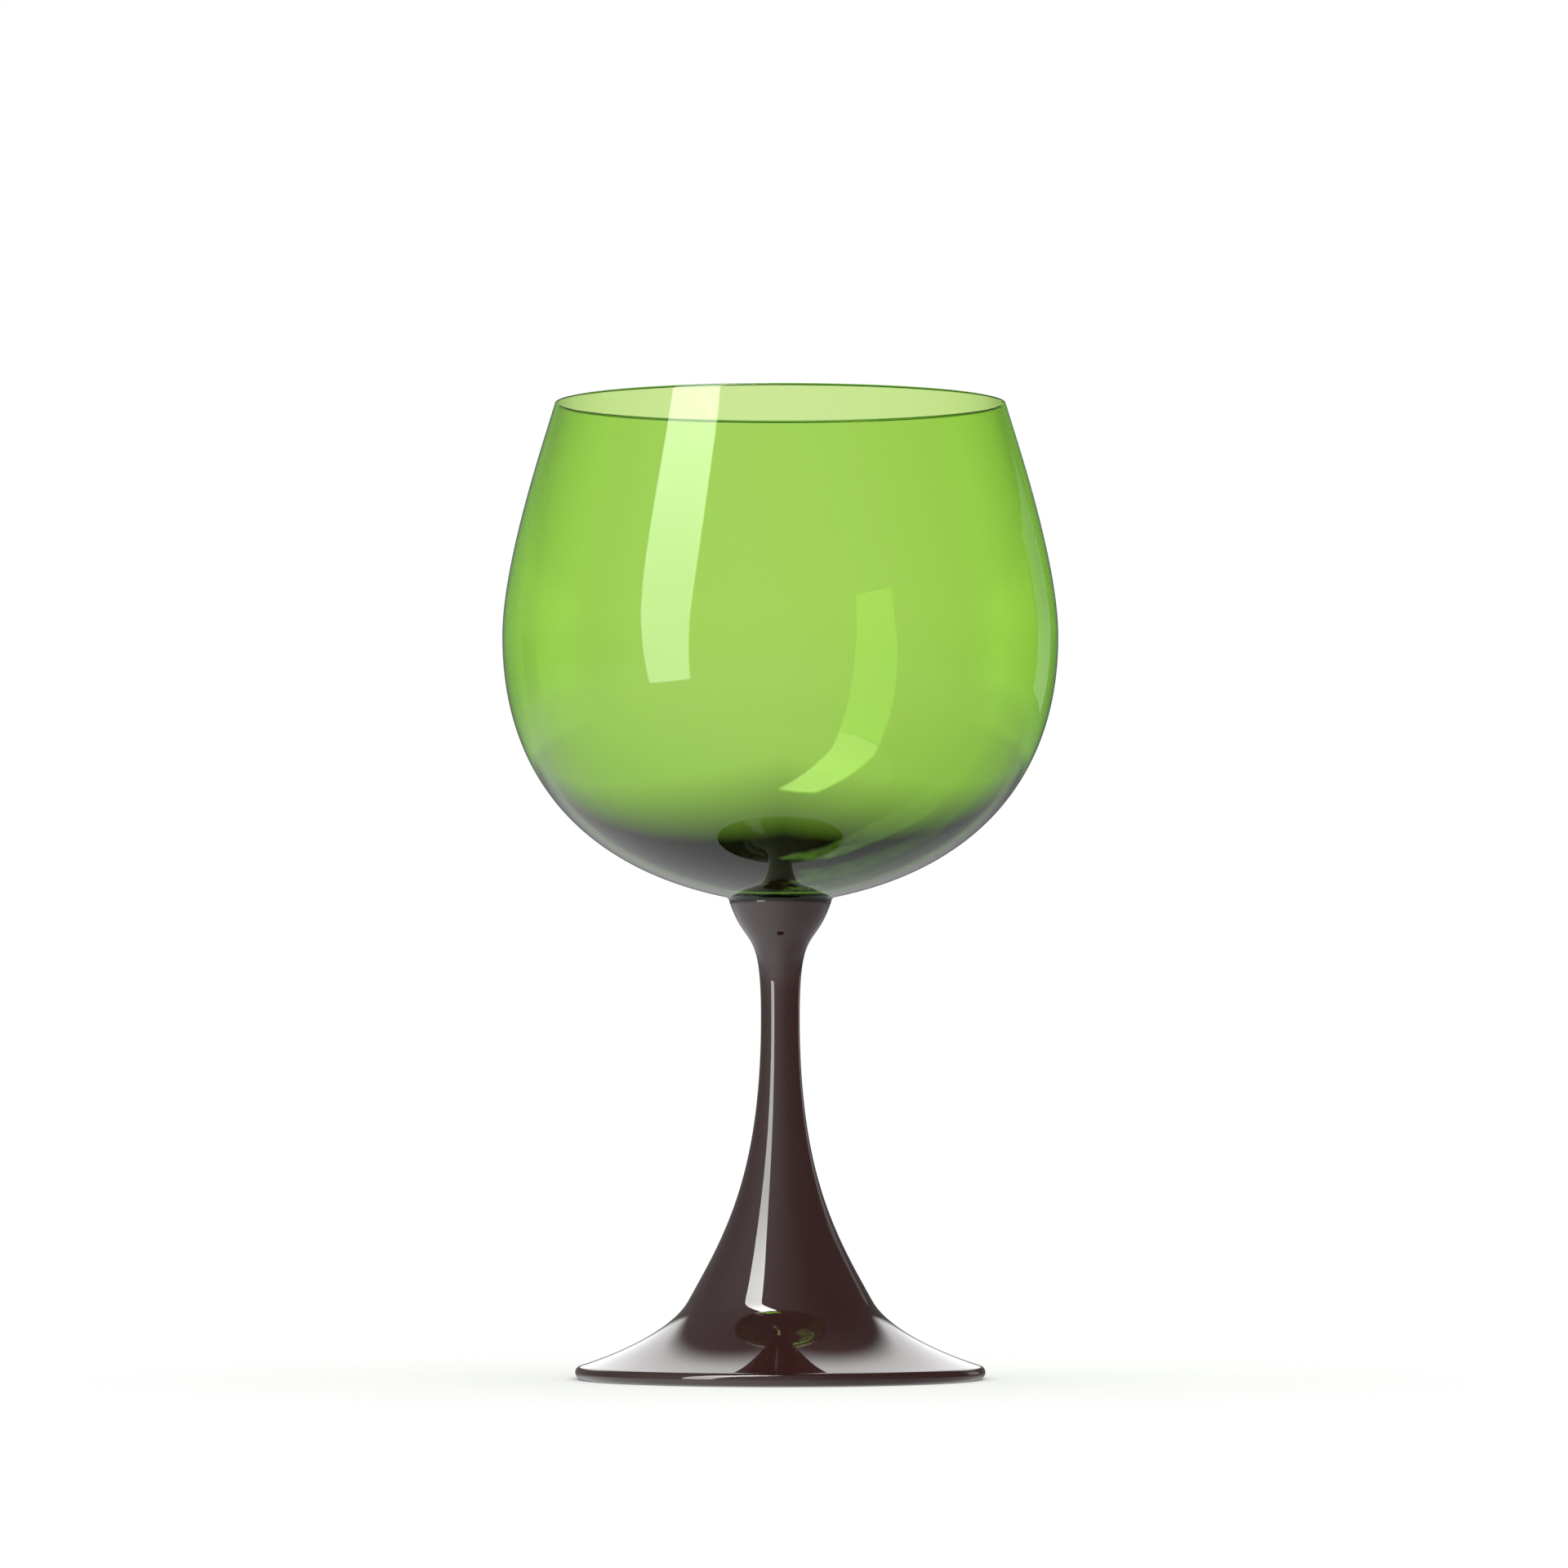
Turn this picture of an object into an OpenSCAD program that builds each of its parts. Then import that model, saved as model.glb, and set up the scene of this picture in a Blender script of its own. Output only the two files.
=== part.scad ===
// Balloon wine glass in two colours of blown glass.
// Four pieces of glass, joined hot and stacked on one vertical axis:
//   bowl    thin green balloon with a fire-polished lip
//   collar  solid violet funnel that the bowl sits on
//   stem    violet trumpet, blown hollow
//   foot    violet flare that carries on from the stem, open underneath
// Millimetres, +Z up, origin on the table under the middle of the foot.

/* [Overall] */
// Height of the lip above the table
height = 186; // [178:1:200]
// Height of the flat join between the bowl and the collar
joint_z = 90.6; // [86:0.2:94]

/* [Bowl] */
// Outside diameter at the belly, the widest place
bowl_d = 106; // [98:1:116]
// Height of the belly
belly_z = 141.2; // [136:0.2:146]
// Outside diameter at the lip
rim_d = 86.2; // [76:0.2:92]
// Lean of the wall below the lip, in degrees from vertical
rim_lean = 16.5; // [10:0.5:24]
// Rise of the bowl's underside where it leaves the collar, in degrees
underside_rise = 11.5; // [8:0.5:20]
// Wall thickness at the lip
rim_t = 0.8; // [0.7:0.1:1.3]
// Wall thickness at the belly
belly_t = 0.8; // [0.7:0.1:1.3]
// Wall thickness low on the underside
underside_t = 0.9; // [0.7:0.1:1.3]
// Glass under the middle of the bowl, down to the join
floor_t = 1.4; // [1.2:0.1:1.8]

/* [Collar] */
// Diameter at the join with the bowl
collar_d = 19.4; // [16:0.2:22]
// Lean of the collar's side just under the bowl, in degrees from vertical
collar_lean = 19; // [6:1:24]
// Where the collar ends, as a share of the curve from bowl to neck
collar_share = 0.6; // [0.4:0.05:0.7]

/* [Stem] */
// Diameter at the neck, the narrowest place
neck_d = 7.4; // [6:0.1:9]
// Height of the neck
neck_z = 68.6; // [64:0.2:72]
// Diameter of the bore at the neck
bore_d = 3.2; // [2:0.1:3.8]
// Height of the join between stem and foot
stem_base_z = 14.8; // [12:0.2:17]
// Outside diameter at that join
stem_base_d = 35; // [31:1:40]
// Slope of the outside at that join, in degrees
stem_base_slope = 61; // [54:1:66]
// Glass thickness at that join, measured level
stem_base_t = 2.2; // [1.8:0.1:3]

/* [Foot] */
// Outside diameter
foot_d = 78; // [72:1:86]
// Radius of the rounded edge
edge_r = 1.25; // [0.9:0.05:1.4]
// Slope of the upper face where it meets the edge, in degrees
edge_slope = 17; // [13:1:24]
// Width of the flat ring that the glass stands on
rest_w = 1.1; // [0.8:0.1:1.6]

/* [Fullness of the curves] */
// Reach of the straight wall below the lip
rim_reach = 8; // [4:1:12]
// Reach of the belly upwards
belly_up_reach = 14; // [10:1:18]
// Reach of the belly downwards
belly_down_reach = 27; // [20:1:32]
// Reach of the underside outwards
underside_reach = 27.5; // [20:0.5:32]
// Reach of the collar's side downwards
collar_reach = 10; // [6:1:12]
// Reach of the neck upwards
neck_up_reach = 18; // [14:1:20]
// Reach of the neck downwards
neck_down_reach = 30; // [24:1:34]
// Reach of the trumpet upwards from the join with the foot
trumpet_reach = 14; // [10:1:18]
// Reach of the trumpet on into the foot
flare_reach = 6.5; // [4:0.5:8]
// Reach of the foot inwards from its edge
edge_reach = 7; // [5:1:12]

/* [Hidden] */
$fn = 96;

green_glass = [0.62, 0.85, 0.35];
violet_glass = [0.27, 0.17, 0.18];

// Chords in each long curve, and in each small one
long_steps = 22;
short_steps = 8;

lip_r = rim_t / 2;
bowl_r = bowl_d / 2;
collar_r = collar_d / 2;
neck_r = neck_d / 2;
bore_r = bore_d / 2;
base_r = stem_base_d / 2;
base_bore_r = base_r - stem_base_t;
rest_r = foot_d / 2 - edge_r;
rest_inner_r = rest_r - rest_w;

// The cove that rounds the bowl's underside into the join
cove_w = 0.6;
cove_h = 0.9;
// Where the middle of the bowl's floor flattens out
floor_flat_r = 5;
floor_reach = 2;
// The blind end of the bore, above the neck
bore_end_h = 8.7;
bore_end_reach = 5;

// A direction in the (radius, height) plane, in degrees above level
function heading(angle) = [cos(angle), sin(angle)];

// A curve is four points: its start, the start's handle, the end's handle and its end
function at(c, t) =
    pow(1 - t, 3) * c[0] + 3 * pow(1 - t, 2) * t * c[1] + 3 * (1 - t) * t * t * c[2] + pow(t, 3) * c[3];
function along(c, t) =
    3 * pow(1 - t, 2) * (c[1] - c[0]) + 6 * (1 - t) * t * (c[2] - c[1]) + 3 * t * t * (c[3] - c[2]);
// The point set over to the right of the direction of travel
function beside(c, t, distance) =
    let (v = along(c, t))
    at(c, t) + distance * [v[1], -v[0]] / norm(v);

function trace(c, steps = long_steps, from = 0, to = 1) =
    [for (i = [0 : steps]) at(c, from + (to - from) * i / steps)];
// The inner face of a wall whose outside is the curve, from thickness t0 to t1
function inner_trace(c, t0, t1) =
    [for (i = [0 : long_steps]) beside(c, i / long_steps, t0 + (t1 - t0) * i / long_steps)];
function arc(centre, r, from, to) =
    [for (i = [0 : short_steps]) centre + r * heading(from + (to - from) * i / short_steps)];
// Lists of points end to end, where each list starts at the last one's end
function chain(lists) =
    [for (i = [0 : len(lists) - 1]) for (j = [min(i, 1) : len(lists[i]) - 1]) lists[i][j]];
function tail(points) = [for (i = [1 : len(points) - 1]) points[i]];
function backwards(points) = [for (i = [len(points) - 1 : -1 : 0]) points[i]];

// Outside of the bowl
lip_centre = [rim_d / 2 - lip_r, height - lip_r];
lip_side = lip_centre + lip_r * heading(rim_lean);
bowl_upper = [
    lip_side,
    lip_side + rim_reach * heading(rim_lean - 90),
    [bowl_r, belly_z + belly_up_reach],
    [bowl_r, belly_z]
];
cove_start = [collar_r + cove_w, joint_z + cove_h];
bowl_lower = [
    [bowl_r, belly_z],
    [bowl_r, belly_z - belly_down_reach],
    cove_start + underside_reach * heading(underside_rise),
    cove_start
];
cove = [
    cove_start,
    cove_start - cove_w / 2 * heading(underside_rise),
    [collar_r, joint_z + cove_h / 2],
    [collar_r, joint_z]
];

// Floor of the bowl, from the end of its inner wall to the axis
floor_start = beside(bowl_lower, 1, underside_t);
bowl_floor = [
    floor_start,
    floor_start - floor_reach * heading(underside_rise),
    [floor_flat_r, joint_z + floor_t],
    [0, joint_z + floor_t]
];

// Outside of the collar and neck, then of the stem, then of the foot
collar_side = [
    [collar_r, joint_z],
    [collar_r, joint_z] + collar_reach * heading(-90 - collar_lean),
    [neck_r, neck_z + neck_up_reach],
    [neck_r, neck_z]
];
stem_side = [
    [neck_r, neck_z],
    [neck_r, neck_z - neck_down_reach],
    [base_r, stem_base_z] + trumpet_reach * heading(180 - stem_base_slope),
    [base_r, stem_base_z]
];
edge_centre = [rest_r, edge_r];
edge_top = edge_centre + edge_r * heading(90 - edge_slope);
foot_side = [
    [base_r, stem_base_z],
    [base_r, stem_base_z] + flare_reach * heading(-stem_base_slope),
    edge_top + edge_reach * heading(180 - edge_slope),
    edge_top
];

// The hollow inside stem and foot, from its blind end down to the ring it stands on
bore_end = [
    [0, neck_z + bore_end_h],
    [bore_r, neck_z + bore_end_h],
    [bore_r, neck_z + bore_end_reach],
    [bore_r, neck_z]
];
stem_bore = [
    [bore_r, neck_z],
    [bore_r, neck_z - neck_down_reach],
    [base_bore_r, stem_base_z] + trumpet_reach * heading(180 - stem_base_slope),
    [base_bore_r, stem_base_z]
];
foot_bore = [
    [base_bore_r, stem_base_z],
    [base_bore_r, stem_base_z] + flare_reach * heading(-stem_base_slope),
    [rest_inner_r, 0] + edge_reach * heading(180 - edge_slope),
    [rest_inner_r, 0]
];

module turned(points, tint) {
    color(tint) rotate_extrude() polygon(points);
}

module bowl() {
    outside = chain([
        arc(lip_centre, lip_r, 180 + rim_lean, rim_lean),
        trace(bowl_upper),
        trace(bowl_lower),
        trace(cove, short_steps)
    ]);
    inside = chain([
        inner_trace(bowl_upper, rim_t, belly_t),
        inner_trace(bowl_lower, belly_t, underside_t),
        trace(bowl_floor, short_steps)
    ]);
    turned(concat(outside, [[0, joint_z]], backwards(tail(inside))), green_glass);
}

module collar() {
    side = trace(collar_side, long_steps, 0, collar_share);
    foot_of_side = side[len(side) - 1];
    turned(concat([[0, joint_z]], side, [[0, foot_of_side[1]]]), violet_glass);
}

module stem() {
    outside = chain([
        trace(collar_side, long_steps, collar_share, 1),
        trace(stem_side)
    ]);
    hollow = chain([
        trace(bore_end, short_steps),
        trace(stem_bore)
    ]);
    turned(concat([[0, outside[0][1]]], outside, backwards(hollow)), violet_glass);
}

module foot() {
    outside = chain([
        trace(foot_side),
        arc(edge_centre, edge_r, 90 - edge_slope, -90)
    ]);
    turned(concat(outside, backwards(trace(foot_bore))), violet_glass);
}

bowl();
collar();
stem();
foot();
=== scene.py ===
"""A blown wine glass: a green balloon bowl fused to a violet collar, hollow stem and flared foot.

Metres, +Z up, origin on the table under the middle of the foot, as in the CAD model.
Outlines are cubic curves in the (radius, height) plane, turned about the axis of the glass.
"""
import math

import bmesh
import bpy
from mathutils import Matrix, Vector


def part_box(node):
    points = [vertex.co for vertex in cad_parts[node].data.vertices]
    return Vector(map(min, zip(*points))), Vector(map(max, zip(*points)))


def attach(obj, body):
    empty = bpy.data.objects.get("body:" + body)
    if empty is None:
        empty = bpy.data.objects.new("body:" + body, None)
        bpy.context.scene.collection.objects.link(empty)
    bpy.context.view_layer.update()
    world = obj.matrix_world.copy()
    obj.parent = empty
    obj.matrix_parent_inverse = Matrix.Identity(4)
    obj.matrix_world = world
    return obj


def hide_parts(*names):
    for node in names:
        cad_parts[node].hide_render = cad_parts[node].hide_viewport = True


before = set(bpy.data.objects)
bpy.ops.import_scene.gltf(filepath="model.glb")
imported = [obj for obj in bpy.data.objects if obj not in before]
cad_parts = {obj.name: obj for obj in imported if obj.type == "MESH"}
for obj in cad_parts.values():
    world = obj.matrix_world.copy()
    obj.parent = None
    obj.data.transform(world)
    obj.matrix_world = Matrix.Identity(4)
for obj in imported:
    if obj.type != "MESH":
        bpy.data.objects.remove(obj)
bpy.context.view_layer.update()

MM = 0.001

# ---------------------------------------------------------------- shape

# Faces round the axis, and along a long or a short curve
SEGMENTS = 224
LONG_STEPS = 56
SHORT_STEPS = 14
# Points closer than this, in metres, are one point
SAME_POINT = 1e-7
# Edges that turn more than this many degrees are shaded sharp
SHARP_ANGLE = 40

bowl_low, bowl_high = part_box("bowl")
_, collar_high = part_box("collar")
stem_low, stem_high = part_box("stem")
_, foot_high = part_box("foot")

# From the boxes of the CAD nodes. BASE is the join between stem and foot
HEIGHT = bowl_high.z
BOWL_R = bowl_high.x
JOINT_Z = bowl_low.z
COLLAR_R = collar_high.x
BASE_Z = stem_low.z
BASE_R = stem_high.x
FOOT_R = foot_high.x

# Bowl. Leans, rises and slopes are in degrees; a _T is a thickness of glass
BELLY_Z = 141.2 * MM
RIM_R = 43.1 * MM
RIM_LEAN = 16.5
RIM_T = 0.8 * MM
BELLY_T = 0.8 * MM
UNDERSIDE_T = 0.9 * MM
UNDERSIDE_RISE = 11.5
FLOOR_T = 1.4 * MM
FLOOR_FLAT_R = 5.0 * MM
COVE_W = 0.6 * MM
COVE_H = 0.9 * MM

# Collar, neck and stem, with the bore inside them
FUSED_OVERLAP = 0.15 * MM
FUSED_INSET = FUSED_OVERLAP / 4
COLLAR_LEAN = 19.0
NECK_R = 3.7 * MM
NECK_Z = 68.6 * MM
BORE_R = 1.6 * MM
BORE_END_H = 8.7 * MM
BASE_SLOPE = 61.0
BASE_T = 2.2 * MM

# The foot's rounded edge, and the ring it stands on
EDGE_R = 1.25 * MM
EDGE_SLOPE = 17.0
REST_W = 1.1 * MM

# How far a curve's handle reaches at each of its ends
RIM_REACH = 8.0 * MM
BELLY_UP_REACH = 14.0 * MM
BELLY_DOWN_REACH = 27.0 * MM
UNDERSIDE_REACH = 27.5 * MM
FLOOR_REACH = 2.0 * MM
COLLAR_REACH = 10.0 * MM
NECK_UP_REACH = 18.0 * MM
NECK_DOWN_REACH = 30.0 * MM
TRUMPET_REACH = 14.0 * MM
FLARE_REACH = 6.5 * MM
EDGE_REACH = 7.0 * MM
BORE_END_REACH = 5.0 * MM


def toward(angle, distance=1.0):
    """A step of that length in the (radius, height) plane, in degrees above level."""
    a = math.radians(angle)
    return Vector((math.cos(a), math.sin(a))) * distance


def point(curve, t):
    a, b, c, d = curve
    s = 1 - t
    return s ** 3 * a + 3 * s * s * t * b + 3 * s * t * t * c + t ** 3 * d


def travel(curve, t):
    a, b, c, d = curve
    s = 1 - t
    return (3 * s * s * (b - a) + 6 * s * t * (c - b) + 3 * t * t * (d - c)).normalized()


def trace(curve, steps=LONG_STEPS):
    return [point(curve, i / steps) for i in range(steps + 1)]


def beside(curve, t, distance):
    """The point set over to the right of the direction of travel."""
    v = travel(curve, t)
    return point(curve, t) + distance * Vector((v.y, -v.x))


def inner_trace(curve, t0, t1, steps=LONG_STEPS):
    """The inner face of a wall whose outside is the curve, from thickness t0 to t1."""
    return [beside(curve, i / steps, t0 + (t1 - t0) * i / steps) for i in range(steps + 1)]


def arc(centre, radius, start, end, steps=SHORT_STEPS):
    return [centre + toward(start + (end - start) * i / steps, radius) for i in range(steps + 1)]


def chain(*lists):
    """Lists of points end to end, without the points that two of them share."""
    points = []
    for one in lists:
        for p in one:
            if not points or (p - points[-1]).length > SAME_POINT:
                points.append(p)
    return points


def bowl_outline():
    lip_r = RIM_T / 2
    lip_centre = Vector((RIM_R - lip_r, HEIGHT - lip_r))
    lip_side = lip_centre + toward(RIM_LEAN, lip_r)
    belly = Vector((BOWL_R, BELLY_Z))
    upper = (lip_side, lip_side + toward(RIM_LEAN - 90, RIM_REACH),
             belly + Vector((0, BELLY_UP_REACH)), belly)
    cove_start = Vector((COLLAR_R + COVE_W, JOINT_Z + COVE_H))
    lower = (belly, belly - Vector((0, BELLY_DOWN_REACH)),
             cove_start + toward(UNDERSIDE_RISE, UNDERSIDE_REACH), cove_start)
    cove = (cove_start, cove_start - toward(UNDERSIDE_RISE, COVE_W / 2),
            Vector((COLLAR_R, JOINT_Z + COVE_H / 2)), Vector((COLLAR_R, JOINT_Z)))
    floor_start = beside(lower, 1, UNDERSIDE_T)
    floor = (floor_start, floor_start - toward(UNDERSIDE_RISE, FLOOR_REACH),
             Vector((FLOOR_FLAT_R, JOINT_Z + FLOOR_T)), Vector((0, JOINT_Z + FLOOR_T)))
    outside = chain(arc(lip_centre, lip_r, 180 + RIM_LEAN, RIM_LEAN), trace(upper), trace(lower),
                    trace(cove, SHORT_STEPS), [Vector((0, JOINT_Z))])
    inside = chain(inner_trace(upper, RIM_T, BELLY_T), inner_trace(lower, BELLY_T, UNDERSIDE_T),
                   trace(floor, SHORT_STEPS))
    return chain(inside[::-1], outside)


def trumpet_outline():
    """Collar, stem and foot as one piece of glass; its top runs a little way up into the bowl's base."""
    neck = Vector((NECK_R, NECK_Z))
    collar_top = Vector((COLLAR_R, JOINT_Z))
    collar = (collar_top, collar_top + toward(-90 - COLLAR_LEAN, COLLAR_REACH),
              neck + Vector((0, NECK_UP_REACH)), neck)
    base = Vector((BASE_R, BASE_Z))
    stem = (neck, neck - Vector((0, NECK_DOWN_REACH)),
            base + toward(180 - BASE_SLOPE, TRUMPET_REACH), base)
    edge_centre = Vector((FOOT_R - EDGE_R, EDGE_R))
    edge_top = edge_centre + toward(90 - EDGE_SLOPE, EDGE_R)
    flare = (base, base + toward(-BASE_SLOPE, FLARE_REACH),
             edge_top + toward(180 - EDGE_SLOPE, EDGE_REACH), edge_top)
    rest_inner = Vector((FOOT_R - EDGE_R - REST_W, 0))
    bore_base = Vector((BASE_R - BASE_T, BASE_Z))
    under = (bore_base, bore_base + toward(-BASE_SLOPE, FLARE_REACH),
             rest_inner + toward(180 - EDGE_SLOPE, EDGE_REACH), rest_inner)
    bore_neck = Vector((BORE_R, NECK_Z))
    bore = (bore_neck, bore_neck - Vector((0, NECK_DOWN_REACH)),
            bore_base + toward(180 - BASE_SLOPE, TRUMPET_REACH), bore_base)
    dome = (Vector((0, NECK_Z + BORE_END_H)), Vector((BORE_R, NECK_Z + BORE_END_H)),
            bore_neck + Vector((0, BORE_END_REACH)), bore_neck)
    fused_z = JOINT_Z + FUSED_OVERLAP
    outside = chain([Vector((0, fused_z)), Vector((COLLAR_R - FUSED_INSET, fused_z))],
                    trace(collar), trace(stem), trace(flare),
                    arc(edge_centre, EDGE_R, 90 - EDGE_SLOPE, -90))
    hollow = chain(trace(dome, SHORT_STEPS), trace(bore), trace(under))
    return chain(outside, hollow[::-1])


def lathe(name, outline, material):
    """A closed mesh turned about Z from an outline that starts and ends on the axis."""
    bm = bmesh.new()
    rings = []
    for p in outline:
        if p.x < SAME_POINT:
            rings.append([bm.verts.new((0, 0, p.y))])
            continue
        angles = [2 * math.pi * i / SEGMENTS for i in range(SEGMENTS)]
        rings.append([bm.verts.new((p.x * math.cos(a), p.x * math.sin(a), p.y)) for a in angles])
    for one, two in zip(rings, rings[1:]):
        for i in range(SEGMENTS):
            j = (i + 1) % SEGMENTS
            corners = [one[i % len(one)], one[j % len(one)], two[j % len(two)], two[i % len(two)]]
            bm.faces.new(list(dict.fromkeys(corners)))
    bmesh.ops.recalc_face_normals(bm, faces=bm.faces)
    mesh = bpy.data.meshes.new(name)
    bm.to_mesh(mesh)
    bm.free()
    mesh.shade_smooth()
    mesh.set_sharp_from_angle(angle=math.radians(SHARP_ANGLE))
    mesh.materials.append(material)
    piece = bpy.data.objects.new(name, mesh)
    bpy.context.scene.collection.objects.link(piece)
    return piece


# ---------------------------------------------------------------- glass

# Streaks of colour and polish: how much finer they are than the ripple, and the scale of their noise along
# the axis, where less makes them longer
STREAKS_PER_RIPPLE = 1.7
LENGTHWISE = 0.3
STREAK_DETAIL = 3
RIPPLE_DETAIL = 1
# Roughness of the fire-polished surface, from the smoothest streak to the dullest
POLISH = (0.004, 0.02)


def new_nodes(owner):
    owner.use_nodes = True
    tree = owner.node_tree
    tree.nodes.clear()
    return tree


def ramp(tree, source, start, end, low=0.0, high=1.0, smooth=True):
    """A value that goes from low to high while the source goes from start to end, and stays there."""
    node = tree.nodes.new("ShaderNodeMapRange")
    node.interpolation_type = "SMOOTHSTEP" if smooth else "LINEAR"
    for socket, value in zip(("From Min", "From Max", "To Min", "To Max"), (start, end, low, high)):
        node.inputs[socket].default_value = value
    tree.links.new(source, node.inputs["Value"])
    return node.outputs["Result"]


def axes(tree, coordinate):
    """X, Y and Z of one of the texture coordinates."""
    split = tree.nodes.new("ShaderNodeSeparateXYZ")
    tree.links.new(tree.nodes.new("ShaderNodeTexCoord").outputs[coordinate], split.inputs["Vector"])
    return [split.outputs[axis] for axis in "XYZ"]


def noise(tree, vector, scale, detail):
    node = tree.nodes.new("ShaderNodeTexNoise")
    node.inputs["Scale"].default_value = scale
    node.inputs["Detail"].default_value = detail
    tree.links.new(vector, node.inputs["Vector"])
    return node.outputs["Fac"]


def glass(name, ior, clearness, absorbed, density, tints, ripple_scale, ripple_depth, top):
    """Coloured glass: absorption in its depth, faint streaks of colour, and the ripple of hand blowing.

    clearness is the share of light that goes through the surface. tints are the ends of the streaks' range.
    top is where the glass changes to its upper colour, the height of that change from end to end, and that
    colour.
    """
    material = bpy.data.materials.new(name)
    tree = new_nodes(material)
    new, link = tree.nodes.new, tree.links.new
    out = new("ShaderNodeOutputMaterial")
    shader = new("ShaderNodeBsdfPrincipled")
    shader.inputs["IOR"].default_value = ior
    shader.inputs["Transmission Weight"].default_value = clearness
    link(shader.outputs["BSDF"], out.inputs["Surface"])
    volume = new("ShaderNodeVolumeAbsorption")
    volume.inputs["Color"].default_value = (*absorbed, 1)
    volume.inputs["Density"].default_value = density
    link(volume.outputs["Volume"], out.inputs["Volume"])

    place = new("ShaderNodeTexCoord").outputs["Object"]
    # Gathered glass is drawn out lengthwise, so its streaks are long and thin
    stretch = new("ShaderNodeMapping")
    stretch.inputs["Scale"].default_value = (1, 1, LENGTHWISE)
    link(place, stretch.inputs["Vector"])
    streaks = noise(tree, stretch.outputs["Vector"], ripple_scale * STREAKS_PER_RIPPLE, STREAK_DETAIL)
    tint = new("ShaderNodeMix")
    tint.data_type = "RGBA"
    for socket, colour in zip("AB", tints):
        tint.inputs[socket].default_value = (*colour, 1)
    link(streaks, tint.inputs["Factor"])
    level, change, upper_colour = top
    upper = new("ShaderNodeMix")
    upper.data_type = "RGBA"
    upper.inputs["B"].default_value = (*upper_colour, 1)
    link(tint.outputs["Result"], upper.inputs["A"])
    height = axes(tree, "Object")[2]
    link(ramp(tree, height, level - change / 2, level + change / 2), upper.inputs["Factor"])
    link(upper.outputs["Result"], shader.inputs["Base Color"])

    polish = new("ShaderNodeMapRange")
    for socket, roughness in zip(("To Min", "To Max"), POLISH):
        polish.inputs[socket].default_value = roughness
    link(streaks, polish.inputs["Value"])
    link(polish.outputs["Result"], shader.inputs["Roughness"])

    bump = new("ShaderNodeBump")
    bump.inputs["Strength"].default_value = 1.0
    bump.inputs["Distance"].default_value = ripple_depth
    link(noise(tree, stretch.outputs["Vector"], ripple_scale, RIPPLE_DETAIL), bump.inputs["Height"])
    link(bump.outputs["Normal"], shader.inputs["Normal"])
    return material


# The lip, seen through its rounded edge, looks darker than the wall; that dark line is painted shade, a
# darker green base colour along the top of the rim
green = glass("green_glass", ior=1.5, clearness=1.0, absorbed=(0.608, 0.869, 0.0), density=1340,
              tints=((0.97, 0.985, 0.95), (1, 1, 1)), ripple_scale=24, ripple_depth=0.05 * MM,
              top=(HEIGHT - 0.45 * MM, 0.3 * MM, (0.3, 0.55, 0.12)))
# Above the end of the hollow, collar and neck are solid and look redder
violet = glass("violet_glass", ior=1.8, clearness=0.6, absorbed=(0.42, 0.0, 0.16), density=1200,
               tints=((0.068, 0.026, 0.024), (0.1, 0.036, 0.034)), ripple_scale=60, ripple_depth=0.02 * MM,
               top=(NECK_Z + BORE_END_H, 1.2 * MM, (0.06, 0.014, 0.02)))

bowl = lathe("bowl_glass", bowl_outline(), green)
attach(bowl, "root")
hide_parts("bowl")

trumpet = lathe("collar_stem_foot_glass", trumpet_outline(), violet)
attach(trumpet, "root")
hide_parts("collar", "stem", "foot")

# ---------------------------------------------------------------- studio

# A ray's depth counts whole steps, so these tell none from one or more
ANY_DEPTH = 0.5
NONE_TO_ONE = (0.4, 0.6)
TABLE_R = 0.35
FLOOR_R = 6.0
GROUND_SIDES = 96
GROUND_Z = -0.05 * MM
GROUND_PAINT = (0.92, 0.92, 0.92)


def emission(name, rise, strength_low, strength_high, seen_through_glass):
    """Light whose strength rises with height, and is less for rays that have passed through glass."""
    material = bpy.data.materials.new(name)
    tree = new_nodes(material)
    new, link = tree.nodes.new, tree.links.new
    glow = new("ShaderNodeEmission")
    strength = ramp(tree, axes(tree, "Object")[2], *rise, strength_low, strength_high)
    dimmed = new("ShaderNodeMath")
    dimmed.operation = "MULTIPLY"
    link(strength, dimmed.inputs[0])
    through = new("ShaderNodeLightPath").outputs["Transmission Depth"]
    link(ramp(tree, through, *NONE_TO_ONE, 1.0, seen_through_glass), dimmed.inputs[1])
    link(dimmed.outputs["Value"], glow.inputs["Strength"])
    link(glow.outputs["Emission"], new("ShaderNodeOutputMaterial").inputs["Surface"])
    return material


def sheet(name, corners, faces, material):
    mesh = bpy.data.meshes.new(name)
    mesh.from_pydata(corners, [], faces)
    mesh.materials.append(material)
    obj = bpy.data.objects.new(name, mesh)
    bpy.context.scene.collection.objects.link(obj)
    return obj


def softbox(name, edges, width, rise, strength_low, strength_high, seen_through_glass=1.0):
    """A lit panel that faces the axis, seen in reflections and through the glass but not by the camera.

    edges are the middles of its level edges from the lowest up, where the panel bends: degrees from the
    camera's side to the left, distance from the axis, and height.
    """
    corners = []
    for azimuth, distance, height in edges:
        a = math.radians(azimuth)
        middle = Vector((-math.sin(a) * distance, -math.cos(a) * distance, height))
        across = Vector((math.cos(a), -math.sin(a), 0)) * (width / 2)
        corners += [middle - across, middle + across]
    faces = [(i, i + 1, i + 3, i + 2) for i in range(0, len(corners) - 2, 2)]
    light = emission(name, rise, strength_low, strength_high, seen_through_glass)
    panel = sheet(name, corners, faces, light)
    panel.visible_camera = False
    panel.visible_diffuse = False
    panel.visible_shadow = False


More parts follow.
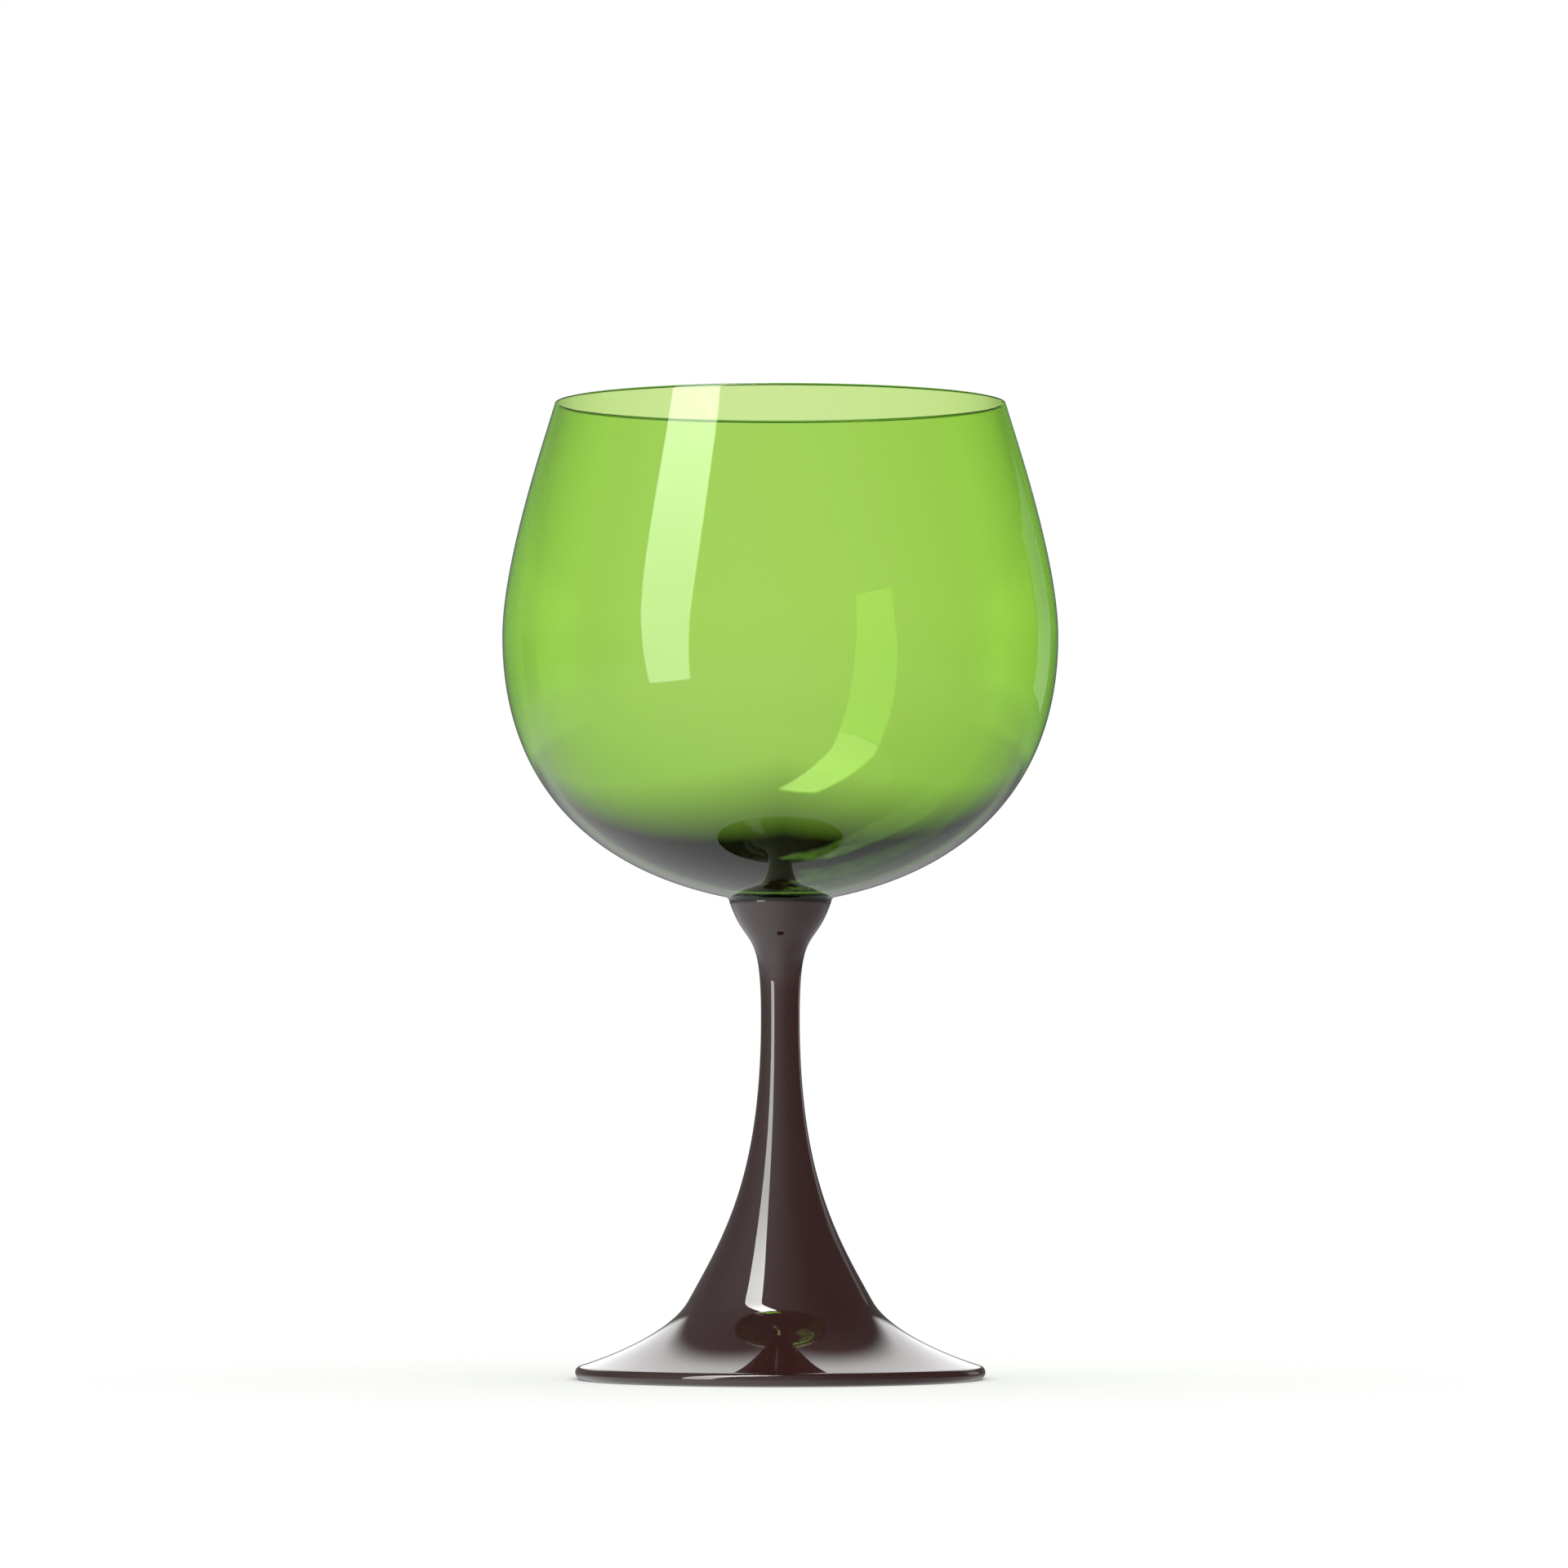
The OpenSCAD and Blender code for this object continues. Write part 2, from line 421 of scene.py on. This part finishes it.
def ground():
    """A white table and a floor round it at its level, which neither reflections nor the glass see."""
    material = bpy.data.materials.new("white_table")
    tree = new_nodes(material)
    out = tree.nodes.new("ShaderNodeOutputMaterial")
    paint = tree.nodes.new("ShaderNodeBsdfDiffuse")
    paint.inputs["Color"].default_value = (*GROUND_PAINT, 1)
    tree.links.new(paint.outputs["BSDF"], out.inputs["Surface"])
    sides = range(GROUND_SIDES)
    turn = [2 * math.pi * i / GROUND_SIDES for i in sides]

    def circle(radius):
        return [(radius * math.cos(a), radius * math.sin(a), GROUND_Z) for a in turn]

    table = sheet("table", circle(TABLE_R), [sides], material)
    after = [(i + 1) % GROUND_SIDES for i in sides]
    ring = [(i, j, GROUND_SIDES + j, GROUND_SIDES + i) for i, j in zip(sides, after)]
    floor = sheet("floor", circle(TABLE_R) + circle(FLOOR_R), ring, material)
    for part in (table, floor):
        part.visible_glossy = False
        part.visible_transmission = False


# Brightnesses, and pairs of places between which the studio changes, as parts of a direction of length 1:
# its x to the right, its y away from the photo's camera, or its z up. A _SIDE bends such a line up or down
# by so much of how far a direction points to either side.
SKY_ON_TABLE = 1.14
LEFT_TO_RIGHT = (-0.9, 0.9)
NEAR_TO_FAR = (-1.0, 0.7)
# Seen through the glass: the backlight's lower edge, its shade from there up to full, and its top
BACKLIGHT_RISE = (0.002, 0.032)
BACKLIGHT_SIDE = 0.42
BACKLIGHT_SHADE = (0.02, 0.06, 0.84, 1.0)
BACKLIGHT_TOP = (0.16, 0.26)
BACKLIGHT_BEHIND = (-0.1, 0.3)
# Seen through the glass: the ground, up to a dark gap below the backlight
GROUND_SEEN = (-0.22, -0.115)
# Mirrored in the glass: the table, then the white sweep behind the glass, then the dark room
HORIZON = (-0.3, 0.0)
GROUND_LEFT = 1.0
GROUND_RIGHT = 0.4
SWEEP = 1.75
SWEEP_BEHIND = (0.0, 0.3)
SWEEP_FOOT = (-0.02, 0.05)
SWEEP_FOOT_SIDE = -1.0
SWEEP_TOP = (0.68, 0.91)
SWEEP_TOP_SIDE = 0.9
ROOM_NEAR = 0.4
ROOM_FAR = 0.15
ROOM_HIGH = (0.3, 0.95)
ROOM_LEFT = (1.4, 1.5)
ROOM_RIGHT = (0.4, 0.08)


def surroundings():
    """White to the eye and the table, a dark room in reflections, and a backlight through the glass."""
    world = bpy.data.worlds.new("studio")
    bpy.context.scene.world = world
    tree = new_nodes(world)
    new, link = tree.nodes.new, tree.links.new

    def put(source, socket):
        """Sets a socket to a number, or links it to another socket."""
        if isinstance(source, (int, float)):
            socket.default_value = source
        else:
            link(source, socket)

    def choose(flag, no, yes):
        """no where the flag is 0, yes where it is 1, and a mix in between."""
        node = new("ShaderNodeMix")
        link(flag, node.inputs["Factor"])
        put(no, node.inputs["A"])
        put(yes, node.inputs["B"])
        return node.outputs["Result"]

    def maths(operation, first, *others):
        """The operation on the first value and each of the others in turn."""
        for other in others:
            node = new("ShaderNodeMath")
            node.operation = operation
            put(first, node.inputs[0])
            put(other, node.inputs[1])
            first = node.outputs["Value"]
        return first

    path = new("ShaderNodeLightPath")
    x, y, z = axes(tree, "Generated")
    sideways = maths("ABSOLUTE", x, 0.0)

    def bent(side):
        """Height of a direction, and that share of how far it points to either side."""
        return maths("ADD", z, maths("MULTIPLY", sideways, side))

    straight = maths("LESS_THAN", path.outputs["Glossy Depth"], ANY_DEPTH)
    # Light mirrored inside the bowl finds the backlight only behind the glass
    backlight = maths("MULTIPLY",
                      ramp(tree, bent(BACKLIGHT_SIDE), *BACKLIGHT_RISE, smooth=False),
                      ramp(tree, z, *BACKLIGHT_SHADE, smooth=False),
                      ramp(tree, z, *BACKLIGHT_TOP, 1.0, 0.0),
                      choose(straight, ramp(tree, y, *BACKLIGHT_BEHIND), 1.0))
    ground_seen = maths("MULTIPLY", ramp(tree, z, *GROUND_SEEN, 1.0, 0.0), straight)
    through = maths("ADD", backlight, ground_seen)

    sweep = maths("MULTIPLY",
                  ramp(tree, bent(SWEEP_FOOT_SIDE), *SWEEP_FOOT),
                  ramp(tree, bent(SWEEP_TOP_SIDE), *SWEEP_TOP, 1.0, 0.0),
                  ramp(tree, y, *SWEEP_BEHIND), SWEEP)
    low, high = (ramp(tree, x, *LEFT_TO_RIGHT, left, right) for left, right in zip(ROOM_LEFT, ROOM_RIGHT))
    room = maths("MULTIPLY", ramp(tree, y, *NEAR_TO_FAR, ROOM_NEAR, ROOM_FAR),
                 choose(ramp(tree, z, *ROOM_HIGH), low, high))
    ground_mirrored = ramp(tree, x, *LEFT_TO_RIGHT, GROUND_LEFT, GROUND_RIGHT)
    mirrored = choose(ramp(tree, z, *HORIZON), ground_mirrored, maths("ADD", room, sweep))

    value = choose(path.outputs["Is Transmission Ray"], SKY_ON_TABLE, through)
    value = choose(path.outputs["Is Reflection Ray"], value, mirrored)
    value = choose(maths("GREATER_THAN", path.outputs["Diffuse Depth"], ANY_DEPTH), value, SKY_ON_TABLE)
    value = choose(path.outputs["Is Camera Ray"], value, 1.0)
    background = new("ShaderNodeBackground")
    background.inputs["Color"].default_value = (1, 1, 1, 1)
    link(value, background.inputs["Strength"])
    link(background.outputs["Background"], new("ShaderNodeOutputWorld").inputs["Surface"])


surroundings()
ground()
softbox("strip_softbox", edges=[(45, 0.41, 0.027), (44.5, 0.26, 0.415), (19, 0.16, 0.66)], width=0.128,
        rise=(0.2, 0.75), strength_low=5.0, strength_high=18, seen_through_glass=0.42)
softbox("side_softbox", edges=[(-140, 1.4, 0.0), (-140, 1.4, 0.5)], width=0.4,
        rise=(0.0, 0.5), strength_low=0.6, strength_high=0.3)

# The photo's eye, and the height in the middle of its frame. The bowl's axis is a little left of the middle
EYE_DISTANCE = 1490 * MM
EYE_HEIGHT = 59 * MM
AIM_HEIGHT = 113.1 * MM
EYE_ASIDE = 0.7 * MM
LENS = 179.6
SENSOR = 36


def camera():
    """At eye level low on the glass, far enough back for a long lens."""
    data = bpy.data.cameras.new("camera")
    cam = bpy.data.objects.new("camera", data)
    bpy.context.scene.collection.objects.link(cam)
    bpy.context.scene.camera = cam
    cam.location = (EYE_ASIDE, -EYE_DISTANCE, EYE_HEIGHT)
    aim = Vector((EYE_ASIDE, 0, AIM_HEIGHT))
    cam.rotation_euler = (aim - cam.location).to_track_quat("-Z", "Y").to_euler()
    data.sensor_width = SENSOR
    data.lens = LENS
    data.clip_start = 0.01
    data.clip_end = 20


camera()

scene = bpy.context.scene
scene.view_settings.view_transform = "Standard"
scene.cycles.use_denoising = True
scene.cycles.max_bounces = 24
scene.cycles.transmission_bounces = 20
scene.cycles.glossy_bounces = 10
scene.cycles.diffuse_bounces = 3
scene.cycles.sample_clamp_indirect = 12
